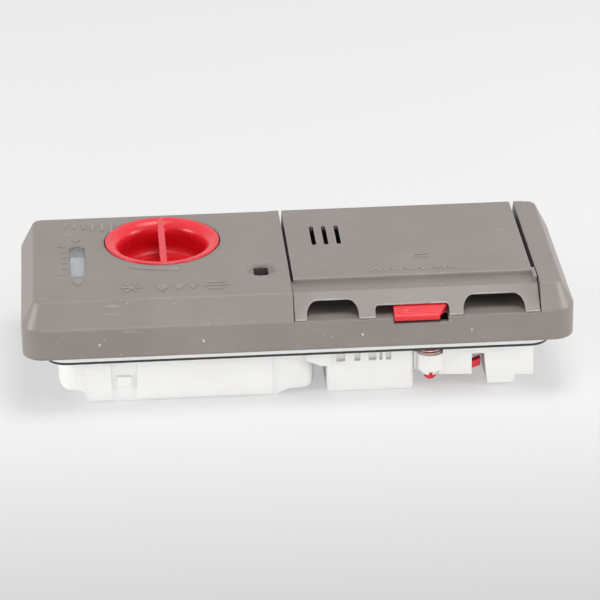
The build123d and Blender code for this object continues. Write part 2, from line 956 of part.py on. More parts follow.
with BuildPart() as tank_space:
    extrude(tank_section(tank_wall), amount=tank_back - tank_front - 2 * tank_wall)
    extrude(tank_plan(tank_wall), amount=z_flange, mode=Mode.INTERSECT)

with BuildPart() as reservoir:
    extrude(tank_section(0), amount=tank_back - tank_front)
    extrude(tank_plan(0), amount=z_flange, mode=Mode.INTERSECT)
    add(tank_space.part, mode=Mode.SUBTRACT)
    for pad_x in tank_pad_x:
        span(pad_x, (tank_front - tank_pad, tank_front), tank_pad_z)
    span(clip_x, (tank_front - clip_reach, tank_front), clip_z)
    rod((sleeve_left, tank_right), axis_y, axis_z, piston_radius + piston_gap + sleeve_wall)
    rod((sleeve_left, tank_right), axis_y, axis_z, piston_radius + piston_gap, Mode.SUBTRACT)

# Latch: wedge head, arm and stem with a collar for its spring and a window for the lever
with BuildPart() as latch:
    with BuildSketch(side_plane(latch_left)):
        with BuildLine():
            Polyline(
                (latch_head_back, latch_top),
                (latch_crest, latch_top),
                (latch_nose, latch_under - latch_nose_drop + latch_nose_height),
                (latch_nose, latch_under - latch_nose_drop),
                (latch_nose + latch_lip, latch_under - latch_nose_drop),
                (latch_nose + latch_lip, latch_under),
                (latch_head_back, latch_under),
                close=True,
            )
        make_face()
    extrude(amount=latch_right - latch_left)
    nose_edges = latch.edges().filter_by(Axis.X).group_by(Axis.Y)[0]
    fillet(nose_edges.sort_by(Axis.Z)[-1], latch_nose_round)
    with BuildSketch(Plane.XY):
        with BuildLine():
            Polyline(
                (latch_right, latch_crest),
                (latch_foot_right, latch_nose),
                (latch_right, latch_nose),
                close=True,
            )
        make_face()
    extrude(amount=z_top, mode=Mode.SUBTRACT)
    latch_slope = latch_under - latch_nose_drop + latch_nose_height - latch_top
    for groove in range(groove_count):
        share = (groove + 1) / (groove_count + 1)
        rod(
            (latch_left, latch_right),
            latch_crest + share * (latch_nose - latch_crest),
            latch_top + share * latch_slope,
            groove_radius,
            Mode.SUBTRACT,
        )
    span(
        (stem_x - arm_half_width, stem_x + arm_half_width),
        (latch_head_back, stem_y + arm_back),
        (latch_under, latch_top),
    )
    post(stem_x, stem_y, (stem_tip, latch_under), stem_radius)
    fillet(latch.faces().sort_by(Axis.Z)[0].edges(), stem_tip_round)
    post(stem_x, stem_y, (collar_top - collar_height, collar_top), collar_radius)
    span(
        (stem_x - 2 * stem_radius, stem_x + 2 * stem_radius),
        (lever_front - slide_gap, stem_y + lever_arm_width / 2 + slide_gap),
        (pivot_z - lever_arm_height / 2 - window_gap, pivot_z + lever_arm_height / 2 + window_gap),
        Mode.SUBTRACT,
    )

with BuildPart() as latch_spring:
    latch_spring_length = collar_top - collar_height - guide_top - 2 * latch_spring_wire
    latch_spring_pitch = latch_spring_length / latch_spring_turns
    latch_spring_foot = (stem_x, stem_y, guide_top + latch_spring_wire)
    with BuildLine() as latch_coil:
        Helix(latch_spring_pitch, latch_spring_length, latch_spring_radius, latch_spring_foot)
    with BuildSketch(Plane(latch_coil.line @ 0, z_dir=latch_coil.line % 0)):
        Circle(latch_spring_wire)
    sweep(path=latch_coil.line, is_frenet=True)

# Release lever: hub, arm into the stem, tail, and a fork on the plunger
with BuildPart() as release_lever:
    cross_rod(pivot_x, (lever_front, hub_back), pivot_z, hub_radius)
    span(
        (lever_tip_x, pivot_x),
        (lever_front, lever_front + lever_arm_width),
        (pivot_z - lever_arm_height / 2, pivot_z + lever_arm_height / 2),
    )
    with BuildSketch(front_plane(lever_front + lever_arm_width)):
        with BuildLine():
            Polyline(
                (pivot_x, pivot_z - lever_arm_height / 2),
                (tail_x, tail_low),
                (tail_x, tail_high),
                (pivot_x, pivot_z + lever_arm_height / 2),
                close=True,
            )
        make_face()
    extrude(amount=lever_arm_width)
    span(
        (pivot_x - fork_thickness / 2, pivot_x + fork_thickness / 2),
        (axis_y - fork_width / 2, axis_y + fork_width / 2),
        (pivot_z, axis_z + fork_rise),
    )
    span(
        (pivot_x - fork_thickness, pivot_x + fork_thickness),
        (axis_y - fork_slot / 2, axis_y + fork_slot / 2),
        (axis_z - fork_slot / 2, 2 * axis_z),
        Mode.SUBTRACT,
    )
    cross_rod(pivot_x, (lever_front, hub_back), pivot_z, pin_radius + pin_fit, Mode.SUBTRACT)

with BuildPart() as lever_pin:
    cross_rod(pivot_x, pin_range, pivot_z, pin_radius)

# Actuator cover: open box with a castellated front edge and a connector pocket below
with BuildPart() as actuator_cover:
    span((box_left, box_right), (box_front, box_back), (0, rear_top))
    fillet(actuator_cover.edges().filter_by(Axis.Z), box_corner)
    fillet(actuator_cover.faces().sort_by(Axis.Z)[0].edges(), box_corner / 2)
    offset(openings=actuator_cover.faces().sort_by(Axis.Z)[-1], amount=-box_wall)
    span(
        (box_left + box_corner, box_right - box_corner),
        (box_front, box_front + rim_depth),
        (rim_low, z_flange),
    )
    for notch_left, notch_size in zip(notch_x, notch_width):
        span(
            (notch_left, notch_left + notch_size),
            (box_front, box_front + notch_cut),
            (z_flange - notch_depth, z_flange),
            Mode.SUBTRACT,
        )
    with BuildSketch(front_plane(tank_front - bridge_gap)):
        with BuildLine():
            Polyline(
                (bridge_left, bridge_top),
                (bridge_left, bridge_high),
                (bridge_bend, bridge_low),
                (box_left + bridge_root, bridge_low),
                (box_left + bridge_root, bridge_top),
                close=True,
            )
        make_face()
    extrude(amount=tank_front - bridge_gap - bridge_front)
    span(
        (box_left + bridge_gap, box_left + bridge_root),
        (bridge_front, box_front + box_wall),
        (bridge_low, rear_top),
    )
    for rib_x in cradle_x:
        span(
            (rib_x, rib_x + cradle),
            (axis_y - yoke_half, axis_y + yoke_half),
            (box_wall / 2, axis_z - yoke_half),
        )
    span(
        (pocket_x[0] - box_wall, pocket_x[1] + box_wall),
        (pocket_y[0] - box_wall, pocket_y[1] + box_wall),
        (box_wall / 2, pocket_depth + box_wall),
    )
    span((pocket_x[0], pocket_x[1]), (pocket_y[0], pocket_y[1]), (-box_wall, pocket_depth), Mode.SUBTRACT)
    for x in blade_x:
        span(
            (x - blade_width / 2 - blade_fit, x + blade_width / 2 + blade_fit),
            (blade_y - blade_thickness / 2 - blade_fit, blade_y + blade_thickness / 2 + blade_fit),
            (pocket_depth, pocket_depth + box_wall),
            Mode.SUBTRACT,
        )
    rod((box_left, box_right), axis_y, axis_z, rod_radius + rod_hole_gap, Mode.SUBTRACT)

with BuildPart() as terminal_blades:
    for x in blade_x:
        span(
            (x - blade_width / 2, x + blade_width / 2),
            (blade_y - blade_thickness / 2, blade_y + blade_thickness / 2),
            (blade_low, blade_high),
        )

# Solenoid: steel yoke, bobbin and winding
with BuildPart() as solenoid_yoke:
    span(
        (yoke_left, yoke_right),
        (axis_y - yoke_half, axis_y + yoke_half),
        (axis_z - yoke_half, axis_z + yoke_half),
    )
    span(
        (yoke_left + yoke_sheet, yoke_right - yoke_sheet),
        (axis_y - yoke_half, axis_y + yoke_half - yoke_sheet),
        (axis_z - yoke_half, axis_z + yoke_half),
        Mode.SUBTRACT,
    )
    rod((yoke_left, yoke_right), axis_y, axis_z, bobbin_bore, Mode.SUBTRACT)

with BuildPart() as solenoid_bobbin:
    bobbin_left = yoke_left + yoke_sheet
    bobbin_right = yoke_right - yoke_sheet
    rod((bobbin_left, bobbin_right), axis_y, axis_z, bobbin_bore + bobbin_wall)
    rod((bobbin_left, bobbin_left + bobbin_flange), axis_y, axis_z, yoke_half - yoke_sheet)
    rod((bobbin_right - bobbin_flange, bobbin_right), axis_y, axis_z, yoke_half - yoke_sheet)
    rod((bobbin_left, bobbin_right), axis_y, axis_z, bobbin_bore, Mode.SUBTRACT)

with BuildPart() as solenoid_winding:
    winding_range = (bobbin_left + bobbin_flange, bobbin_right - bobbin_flange)
    rod(winding_range, axis_y, axis_z, yoke_half - yoke_sheet - winding_inset)
    rod(winding_range, axis_y, axis_z, bobbin_bore + bobbin_wall, Mode.SUBTRACT)

# Plunger with its spring, and the dosing piston with its ring on the far end of the rod
with BuildPart() as solenoid_plunger:
    fork_left = pivot_x - fork_thickness / 2 - end_collar_gap
    fork_right = pivot_x + fork_thickness / 2 + end_collar_gap
    rod((plunger_left, plunger_right), axis_y, axis_z, plunger_radius)
    rod((plunger_right, plunger_right + spring_collar), axis_y, axis_z, spring_collar_radius)
    rod((piston_right, fork_right + end_collar), axis_y, axis_z, rod_radius)
    rod((fork_left - end_collar, fork_left), axis_y, axis_z, end_collar_radius)
    rod((fork_right, fork_right + end_collar), axis_y, axis_z, end_collar_radius)

with BuildPart() as plunger_spring:
    plunger_spring_start = yoke_right + spring_end_gap + plunger_spring_wire
    plunger_spring_length = plunger_right - spring_end_gap - plunger_spring_wire - plunger_spring_start
    with BuildLine() as plunger_coil:
        Helix(
            plunger_spring_length / plunger_spring_turns,
            plunger_spring_length,
            plunger_spring_radius,
            center=(plunger_spring_start, axis_y, axis_z),
            direction=(1, 0, 0),
        )
    with BuildSketch(Plane(plunger_coil.line @ 0, z_dir=plunger_coil.line % 0)):
        Circle(plunger_spring_wire)
    sweep(path=plunger_coil.line, is_frenet=True)

with BuildPart() as dosing_piston:
    rod((piston_left, ring_x), axis_y, axis_z, piston_radius)
    rod((ring_x, ring_x + ring_width), axis_y, axis_z, piston_radius - ring_depth)
    rod((ring_x + ring_width, piston_right), axis_y, axis_z, piston_radius)

with BuildPart() as dosing_seal:
    rod((ring_x, ring_x + ring_width), axis_y, axis_z, piston_radius + ring_proud)
    rod((ring_x, ring_x + ring_width), axis_y, axis_z, piston_radius - ring_depth, Mode.SUBTRACT)

# Lid spring, drawn out while the lid is shut
with BuildPart() as lid_spring:
    lid_spring_start = tab_y + tab_thickness + spring_end_gap + lid_spring_wire
    lid_spring_length = post_y - post_radius - spring_end_gap - lid_spring_wire - lid_spring_start
    with BuildLine() as lid_coil:
        Helix(
            lid_spring_length / lid_spring_turns,
            lid_spring_length,
            lid_spring_radius,
            center=(lid_spring_x, lid_spring_start, deck_top + lid_spring_lift),
            direction=(0, 1, 0),
        )
    with BuildSketch(Plane(lid_coil.line @ 0, z_dir=lid_coil.line % 0)):
        Circle(lid_spring_wire)
    sweep(path=lid_coil.line, is_frenet=True)

# Screws through the flange into the panel's bosses
with BuildPart() as cover_screws:
    for x in screw_x:
        post(x, screw_y, (z_flange - screw_head, z_flange), screw_head_radius)
        post(x, screw_y, (z_flange, z_base + screw_reach), screw_radius)

pieces = {
    "face_panel": face_panel,
    "detergent_lid": detergent_lid,
    "lid_spring": lid_spring,
    "rinse_cap": rinse_cap,
    "cap_seal": cap_seal,
    "level_lens": level_lens,
    "level_indicator": level_indicator,
    "carrier": carrier,
    "door_gasket": door_gasket,
    "reservoir": reservoir,
    "latch": latch,
    "latch_spring": latch_spring,
    "release_lever": release_lever,
    "lever_pin": lever_pin,
    "actuator_cover": actuator_cover,
    "terminal_blades": terminal_blades,
    "solenoid_yoke": solenoid_yoke,
    "solenoid_bobbin": solenoid_bobbin,
    "solenoid_winding": solenoid_winding,
    "solenoid_plunger": solenoid_plunger,
    "plunger_spring": plunger_spring,
    "dosing_piston": dosing_piston,
    "dosing_seal": dosing_seal,
    "cover_screws": cover_screws,
}
os.makedirs("parts", exist_ok=True)
for name, piece in pieces.items():
    piece.part.label = name
    export_step(piece.part, f"parts/{name}.step")
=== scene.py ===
import json
import math

import bmesh
import bpy
from mathutils import Matrix, Vector


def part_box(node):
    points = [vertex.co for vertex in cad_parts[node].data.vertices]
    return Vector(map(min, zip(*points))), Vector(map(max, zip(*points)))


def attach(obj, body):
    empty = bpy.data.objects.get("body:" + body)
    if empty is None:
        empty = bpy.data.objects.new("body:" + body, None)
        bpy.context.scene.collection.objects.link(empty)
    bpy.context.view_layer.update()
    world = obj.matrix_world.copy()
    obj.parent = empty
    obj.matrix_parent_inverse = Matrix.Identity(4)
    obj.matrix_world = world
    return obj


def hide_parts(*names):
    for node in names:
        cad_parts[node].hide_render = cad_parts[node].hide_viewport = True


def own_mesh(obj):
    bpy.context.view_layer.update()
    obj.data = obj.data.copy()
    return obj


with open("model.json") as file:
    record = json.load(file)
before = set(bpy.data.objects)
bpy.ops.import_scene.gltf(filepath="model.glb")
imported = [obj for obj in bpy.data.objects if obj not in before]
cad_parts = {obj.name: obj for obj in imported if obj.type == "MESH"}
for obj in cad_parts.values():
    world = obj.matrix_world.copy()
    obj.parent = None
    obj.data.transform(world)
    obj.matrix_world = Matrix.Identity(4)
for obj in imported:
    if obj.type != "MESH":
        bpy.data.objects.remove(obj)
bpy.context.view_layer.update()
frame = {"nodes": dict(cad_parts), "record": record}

mm = 0.001
nodes = frame["nodes"]
record = frame["record"]
print("frame loaded,", len(nodes), "nodes")


# Shader maths: a wired socket that can be added, multiplied and so on
class Wire:
    def __init__(self, finish, socket):
        self.finish = finish
        self.socket = socket

    def math(self, operation, first, second):
        return self.finish.node("Math", {"operation": operation}, {0: first, 1: second})

    def __add__(self, other):
        return self.math("ADD", self, other)

    def __radd__(self, other):
        return self.math("ADD", other, self)

    def __sub__(self, other):
        return self.math("SUBTRACT", self, other)

    def __rsub__(self, other):
        return self.math("SUBTRACT", other, self)

    def __mul__(self, other):
        return self.math("MULTIPLY", self, other)

    def __rmul__(self, other):
        return self.math("MULTIPLY", other, self)


# Detail and roughness of the noises that the finishes are made of
cloudy = (4.0, 0.6)
streaky = (3.0, 0.6)
even = (3.0, 0.5)
fine = (2.0, 0.5)


# One material: a principled shader and the nodes that feed it
class Finish:
    def __init__(self, name, **constants):
        self.material = bpy.data.materials.new(name)
        self.material.use_nodes = True
        self.tree = self.material.node_tree
        self.shader = self.tree.nodes["Principled BSDF"]
        self.set(**constants)

    def plug(self, socket, value):
        if isinstance(value, Wire):
            self.tree.links.new(value.socket, socket)
        else:
            socket.default_value = value

    def node(self, kind, settings=None, sockets=None, out=0):
        made = self.tree.nodes.new("ShaderNode" + kind)
        for key, value in (settings or {}).items():
            setattr(made, key, value)
        for key, value in (sockets or {}).items():
            self.plug(made.inputs[key], value)
        return Wire(self, made.outputs[out])

    def set(self, **values):
        for socket, value in values.items():
            self.plug(self.shader.inputs[socket.replace("_", " ")], value)

    def place(self, scale=(1, 1, 1), turn=(0, 0, 0)):
        here = self.node("TexCoord", out="Object")
        return self.node("Mapping", None, {"Vector": here, "Scale": scale, "Rotation": turn})

    def noise(self, size, grade, stretch=(1, 1, 1), turn=(0, 0, 0)):
        detail, rough = grade
        return self.node("TexNoise", None, {
            "Vector": self.place(stretch, turn), "Scale": 1.0 / size, "Detail": detail,
            "Roughness": rough})

    def step(self, value, low, high):
        return self.node("MapRange", {"clamp": True}, {
            "Value": value, "From Min": low, "From Max": high})

    def around(self, middle, noise, spread):
        return middle + (noise - 0.5) * spread

    def blend(self, factor, first, second):
        return self.node("Mix", {"data_type": "RGBA"}, {
            "Factor": factor, "A": first, "B": second}, "Result")

    def edges(self, reach, samples=8):
        # one along outer edges and nothing on open faces, from how thin the solid is under its skin
        depth = self.node("AmbientOcclusion", {"inside": True, "only_local": True, "samples": samples}, {
            "Distance": reach}, "AO")
        return 1 - depth

    def bump(self, height, strength, depth, edge=0.0, samples=4):
        sockets = {"Height": height, "Strength": strength, "Distance": depth}
        if edge:  # rounds the shading of sharp edges
            sockets["Normal"] = self.node("Bevel", {"samples": samples}, {"Radius": edge})
        return self.node("Bump", None, sockets)


# The world behind everything takes nodes in the same way
class Sky(Finish):
    def __init__(self, name):
        self.world = bpy.data.worlds.new(name)
        self.world.use_nodes = True
        self.tree = self.world.node_tree
        self.background = self.tree.nodes["Background"]
        self.background.inputs["Color"].default_value = colour(1.0, 1.0, 1.0)


def colour(red, green, blue):
    return (red, green, blue, 1.0)


# Plastics and rubber
panelLook = dict(
    ior=1.48, rough=0.38, roughCloud=0.12, roughMarks=0.15,
    base=colour(0.236, 0.204, 0.186), pale=colour(0.261, 0.229, 0.211),
    cloud=30 * mm, cloudRange=(0.35, 0.65),
    grain=0.45 * mm, grainBump=0.16, grainDepth=0.12 * mm, panelEdge=1.8 * mm, lidEdge=0.6 * mm,
    # pale colour of rubs and specks, and of the painted highlight along outer edges
    scuffAndHighlight=colour(0.50, 0.48, 0.46),
    rub=4 * mm, rubGrade=(3.0, 0.55), rubStretch=(0.22, 1.6, 1.6), rubTurn=(0.0, 0.3, 0.5),
    rubRange=(0.62, 0.78), rubPatch=50 * mm, rubPatchRange=(0.47, 0.64), rubAmount=0.45,
    speck=5.8 * mm, speckRange=(0.11, 0.03), speckPatch=18 * mm, speckPatchRange=(0.46, 0.56),
    speckAmount=0.5,
    # paler outer edges: part edge wear, part painted highlight
    edgeWearAndHighlightReach=0.7 * mm, edgeWearAndHighlightRange=(0.10, 0.55), edgeWearAndHighlightPatch=9 * mm, edgeWearAndHighlightPatchRange=(0.30, 0.62),
    panelEdgeWearAndHighlight=0.80, markEdgeWearAndHighlight=0.30)


def panelGrey(name, edgeWearAndHighlightBy, edge):
    look = panelLook
    finish = Finish(name, IOR=look["ior"])
    cloud = finish.noise(look["cloud"], cloudy)
    grain = finish.noise(look["grain"], fine)
    body = finish.blend(finish.step(cloud, *look["cloudRange"]), look["base"], look["pale"])
    # short pale rubs from handling
    rub = finish.noise(look["rub"], look["rubGrade"], look["rubStretch"], look["rubTurn"])
    handled = finish.step(finish.noise(look["rubPatch"], fine), *look["rubPatchRange"])
    rub = finish.step(rub, *look["rubRange"]) * handled * look["rubAmount"]
    # dust specks
    cells = finish.node("TexVoronoi", None, {"Vector": finish.place(), "Scale": 1.0 / look["speck"]})
    dusty = finish.step(finish.noise(look["speckPatch"], fine), *look["speckPatchRange"])
    speck = finish.step(cells, *look["speckRange"]) * dusty * look["speckAmount"]
    # paler outer edges in patches: part edge wear, part painted highlight
    worn = finish.step(finish.noise(look["edgeWearAndHighlightPatch"], streaky), *look["edgeWearAndHighlightPatchRange"])
    edgeWearAndHighlight = finish.step(finish.edges(look["edgeWearAndHighlightReach"]), *look["edgeWearAndHighlightRange"]) * worn * edgeWearAndHighlightBy
    marks = finish.step(rub + speck + edgeWearAndHighlight, 0.0, 1.0)
    # rubs, specks and the painted edge highlight share one pale colour
    finish.set(Base_Color=finish.blend(marks, body, look["scuffAndHighlight"]))
    rough = finish.around(look["rough"], cloud, look["roughCloud"])
    finish.set(Roughness=rough + marks * look["roughMarks"])
    finish.set(Normal=finish.bump(grain, look["grainBump"], look["grainDepth"], edge))
    return finish.material


redLook = dict(
    ior=1.5, glow=0.12, glowDepth=1.5 * mm, glowReach=(1.0, 0.25, 0.15),
    base=colour(0.80, 0.020, 0.036), deep=colour(0.72, 0.014, 0.027), cloud=12 * mm, cloudRange=(0.3, 0.7),
    hair=2.2 * mm, hairStretch=(0.12, 1.0, 1.0), hairTurn=(0.0, 0.0, 0.7), hairRange=(0.60, 0.75),
    rough=0.27, roughCloud=0.14, roughHair=0.10,
    cloudShare=0.6, hairShare=0.4, relief=0.10, depth=0.2 * mm, edge=0.4 * mm)


def capRed():
    look = redLook
    finish = Finish(
        "capRed", IOR=look["ior"], Subsurface_Weight=look["glow"], Subsurface_Scale=look["glowDepth"],
        Subsurface_Radius=look["glowReach"])
    cloud = finish.noise(look["cloud"], cloudy)
    hair = finish.noise(look["hair"], streaky, look["hairStretch"], look["hairTurn"])
    scratch = finish.step(hair, *look["hairRange"])
    finish.set(Base_Color=finish.blend(finish.step(cloud, *look["cloudRange"]), look["base"], look["deep"]))
    rough = finish.around(look["rough"], cloud, look["roughCloud"])
    finish.set(Roughness=rough + scratch * look["roughHair"])
    height = cloud * look["cloudShare"] + hair * look["hairShare"]
    finish.set(Normal=finish.bump(height, look["relief"], look["depth"], look["edge"]))
    return finish.material


whiteLook = dict(
    ior=1.49, glow=0.15, glowDepth=2 * mm,
    base=colour(0.89, 0.885, 0.875), warm=colour(0.86, 0.85, 0.835), toneRange=(0.38, 0.64),
    cloud=25 * mm, cloudShare=0.6, flow=6 * mm, flowStretch=(0.3, 1.0, 1.0), flowShare=0.4, skin=0.9 * mm,
    rough=0.42, roughFlow=0.16, skinShare=0.5, relief=0.08, depth=0.2 * mm, edge=0.5 * mm)


def housingWhite():
    look = whiteLook
    finish = Finish(
        "housingWhite", IOR=look["ior"], Subsurface_Weight=look["glow"], Subsurface_Scale=look["glowDepth"])
    cloud = finish.noise(look["cloud"], cloudy)
    flow = finish.noise(look["flow"], even, look["flowStretch"])
    skin = finish.noise(look["skin"], fine)
    tone = finish.step(cloud * look["cloudShare"] + flow * look["flowShare"], *look["toneRange"])
    finish.set(Base_Color=finish.blend(tone, look["base"], look["warm"]))
    finish.set(Roughness=finish.around(look["rough"], flow, look["roughFlow"]))
    height = skin * look["skinShare"] + flow * (1 - look["skinShare"])
    finish.set(Normal=finish.bump(height, look["relief"], look["depth"], look["edge"]))
    return finish.material


# Small smooth plastic with one cloud of tone
def plainPlastic(name, look):
    finish = Finish(name, IOR=look["ior"])
    cloud = finish.noise(look["cloud"], look["grade"])
    finish.set(Base_Color=finish.blend(finish.step(cloud, *look["cloudRange"]), look["base"], look["other"]))
    finish.set(Roughness=finish.around(look["rough"], cloud, look["roughCloud"]))
    return finish.material


flagLook = dict(
    ior=1.49, base=colour(0.52, 0.52, 0.53), other=colour(0.47, 0.47, 0.48), cloud=4 * mm, grade=cloudy,
    cloudRange=(0.38, 0.64), rough=0.5, roughCloud=0.2)
# pale grey for the small front-wall marks: painted highlight
wallMarkHighlightLook = dict(
    ior=1.48, base=colour(0.40, 0.37, 0.35), other=colour(0.66, 0.64, 0.62), cloud=1.2 * mm, grade=streaky,
    cloudRange=(0.35, 0.60), rough=0.34, roughCloud=0.2)
lensLook = dict(
    ior=1.49, clear=0.92, base=colour(0.93, 0.95, 0.96), hazy=colour(0.86, 0.89, 0.91), haze=6 * mm,
    hazeRange=(0.45, 0.75), rough=0.06, roughHaze=0.12)


def lensClear():
    look = lensLook
    finish = Finish("lensClear", IOR=look["ior"], Transmission_Weight=look["clear"])
    haze = finish.noise(look["haze"], even)
    finish.set(Base_Color=finish.blend(haze, look["base"], look["hazy"]))
    finish.set(Roughness=look["rough"] + finish.step(haze, *look["hazeRange"]) * look["roughHaze"])
    return finish.material


sealLook = dict(
    ior=1.5, base=colour(0.016, 0.016, 0.016), worn=colour(0.040, 0.039, 0.037), cloud=8 * mm, pore=0.6 * mm,
    rough=0.66, roughCloud=0.2, relief=0.25, depth=0.1 * mm)
bobbinLook = dict(
    ior=1.5, base=colour(0.02, 0.02, 0.021), worn=colour(0.045, 0.045, 0.047), cloud=4 * mm, pore=0.5 * mm,
    rough=0.5, roughCloud=0.25, relief=0.2, depth=0.1 * mm)


def porousBlack(name, look):
    finish = Finish(name, IOR=look["ior"])
    cloud = finish.noise(look["cloud"], cloudy)
    finish.set(Base_Color=finish.blend(cloud, look["base"], look["worn"]))
    finish.set(Roughness=finish.around(look["rough"], cloud, look["roughCloud"]))
    finish.set(Normal=finish.bump(finish.noise(look["pore"], fine), look["relief"], look["depth"]))
    return finish.material


# Metals, drawn or rolled along the axis that the lines are stretched on
springSteelLook = dict(
    bright=colour(0.84, 0.81, 0.76), dull=colour(0.66, 0.63, 0.58), rough=0.32, tone=3 * mm,
    stretch=(1, 1, 0.2), relief=0.15)
yokeSteelLook = dict(
    bright=colour(0.62, 0.63, 0.64), dull=colour(0.45, 0.46, 0.48), rough=0.38, tone=6 * mm,
    stretch=(0.15, 1, 1), relief=0.20)
terminalBrassLook = dict(
    bright=colour(0.78, 0.66, 0.40), dull=colour(0.62, 0.50, 0.28), rough=0.30, tone=5 * mm,
    stretch=(1, 1, 0.15), relief=0.15)
metalLook = dict(toneRange=(0.35, 0.68), lineShare=0.25, roughLines=0.25, depth=0.1 * mm)


def metal(name, look):
    finish = Finish(name, Metallic=1.0)
    tone = finish.noise(look["tone"], cloudy)
    lines = finish.noise(look["tone"] * metalLook["lineShare"], streaky, look["stretch"])
    tarnish = finish.step(tone, *metalLook["toneRange"])
    finish.set(Base_Color=finish.blend(tarnish, look["bright"], look["dull"]))
    finish.set(Roughness=finish.around(look["rough"], lines, metalLook["roughLines"]))
    finish.set(Normal=finish.bump(lines, look["relief"], metalLook["depth"]))
    return finish.material


windingLook = dict(
    wire=2.2 * mm, sway=0.15, swayDetail=1.0, cloud=4 * mm, grooveRange=(0.0, 0.5),
    # painted shade: dark colour in the grooves between turns
    groove=colour(0.22, 0.07, 0.03), dull=colour(0.62, 0.24, 0.10), bright=colour(0.76, 0.36, 0.17),
    rough=0.30, roughGroove=0.25, relief=0.6, depth=0.2 * mm)


def windingCopper():
    look = windingLook
    finish = Finish("windingCopper", Metallic=1.0)
    turns = finish.node("TexWave", {"wave_type": "BANDS", "bands_direction": "X"}, {
        "Vector": finish.place(), "Scale": 1.0 / look["wire"], "Distortion": look["sway"],
        "Detail": look["swayDetail"]})
    shine = finish.blend(finish.noise(look["cloud"], even), look["dull"], look["bright"])
    # painted shade darkens the copper between the turns
    finish.set(Base_Color=finish.blend(finish.step(turns, *look["grooveRange"]), look["groove"], shine))
    finish.set(Roughness=look["rough"] + (1 - turns) * look["roughGroove"])
    finish.set(Normal=finish.bump(turns, look["relief"], look["depth"]))
    return finish.material


finishes = {
    "panel_grey": panelGrey("panelGrey", panelLook["panelEdgeWearAndHighlight"], panelLook["panelEdge"]),
    "cap_red": capRed(),
    "housing_white": housingWhite(),
    "lens_clear": lensClear(),
    "seal_rubber": porousBlack("sealRubber", sealLook),
    "spring_steel": metal("springSteel", springSteelLook),
    "yoke_steel": metal("yokeSteel", yokeSteelLook),
    "terminal_brass": metal("terminalBrass", terminalBrassLook),
    "bobbin_black": porousBlack("bobbinBlack", bobbinLook),
    "winding_copper": windingCopper(),
}
# the lid and the raised marks get the same pale edges, part wear, part painted highlight
lidGrey = panelGrey("lidGrey", panelLook["panelEdgeWearAndHighlight"], panelLook["lidEdge"])
markGrey = panelGrey("markGrey", panelLook["markEdgeWearAndHighlight"], panelLook["lidEdge"])
wallMarkHighlightGrey = plainPlastic("wallMarkHighlightGrey", wallMarkHighlightLook)
ownFinish = {"detergent_lid": lidGrey, "level_indicator": plainPlastic("flagGrey", flagLook)}
for part in record["subparts"]:
    held = nodes[part["node"]].data.materials
    held.clear()
    held.append(ownFinish.get(part["node"], finishes[part["material_slot"]]))
print("finishes set on the solids")


def newObject(name, mesh, finish):
    data = bpy.data.meshes.new(name)
    mesh.to_mesh(data)
    mesh.free()
    data.materials.append(finish)
    made = bpy.data.objects.new(name, data)
    bpy.context.scene.collection.objects.link(made)
    return made


def newPiece(name, mesh, body, finish):
    bmesh.ops.recalc_face_normals(mesh, faces=mesh.faces)
    made = newObject(name, mesh, finish)
    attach(made, body)
    return made


# Springs: a wire section spun along x, y or z (0, 1 or 2), closed by a flat turn at each end
coilLook = {
    "latchSpring": dict(
        node="latch_spring", joint="latch_press", along=2, holdHigh=False, radius=5.6 * mm,
        wire=0.30 * mm, turns=3.0, endTurns=0.75, gap=0.02 * mm, keep=0.483, steps=20, sides=10),
    "plungerSpring": dict(
        node="plunger_spring", joint="plunger_stroke", along=0, holdHigh=False, radius=3.3 * mm,
        wire=0.33 * mm, turns=2.0, endTurns=0.75, gap=0.02 * mm, keep=0.70, steps=20, sides=10),
    "lidSpring": dict(
        node="lid_spring", joint="lid_slide", along=1, holdHigh=True, radius=1.75 * mm,
        wire=0.36 * mm, turns=34.0, endTurns=3.0, gap=0.05 * mm, keep=0.137, steps=14, sides=8),
}
endPitch = 2.06  # rise of an end turn, in wire radii


def wireCoil(start, axis, length, look):
    mesh = bmesh.new()
    across = axis.orthogonal().normalized()
    ring = bmesh.ops.create_circle(mesh, cap_ends=True, segments=look["sides"], radius=look["wire"])["verts"]
    turn = Vector((0, 0, 1)).rotation_difference(axis.cross(across)).to_matrix().to_4x4()
    place = Matrix.Translation(start + across * look["radius"])
    bmesh.ops.transform(mesh, verts=ring, matrix=place @ turn)
    live = mesh.faces[:] + mesh.edges[:] + mesh.verts[:]
    endRise = endPitch * look["wire"] * look["endTurns"]
    end, body = (look["endTurns"], endRise), (look["turns"], length - 2 * endRise)
    for count, rise in (end, body, end):
        total = max(1, round(look["steps"] * count))
        live = bmesh.ops.spin(
            mesh, geom=live, cent=start, axis=axis, dvec=axis * (rise / total), angle=2 * math.pi * count,
            steps=total, use_merge=False, use_duplicate=False)["geom_last"]
    return mesh


def coilSpring(name, look):
    low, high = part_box(look["node"])
    along = look["along"]
    axis = tuple(int(side == along) for side in range(3))
    lift = look["wire"] + look["gap"]
    start, anchor = (low + high) / 2, (low + high) / 2
    start[along] = low[along] + lift
    anchor[along] = high[along] if look["holdHigh"] else low[along]  # the end that stays
    mesh = wireCoil(start, Vector(axis), high[along] - low[along] - 2 * lift, look)
    made = newPiece(name, mesh, "housing", finishes["spring_steel"])
    for face in made.data.polygons:
        face.use_smooth = True
    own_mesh(made)
    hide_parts(look["node"])


for name, look in coilLook.items():
    coilSpring(name, look)
print("springs made")


# Raised marks, drawn flat around the origin in millimetres and then set on their face
markLook = dict(
    height=0.55 * mm, soft=0.13 * mm, softSteps=2, sink=0.15 * mm, under=0.03 * mm, barCorner=0.4, barSteps=3,
    ringSteps=6, dropSides=24, dropTip=(1.0, 0.42, 0.14), arcSteps=20, chevronOpen=138, chevronShift=0.42)
upright = 90  # degrees


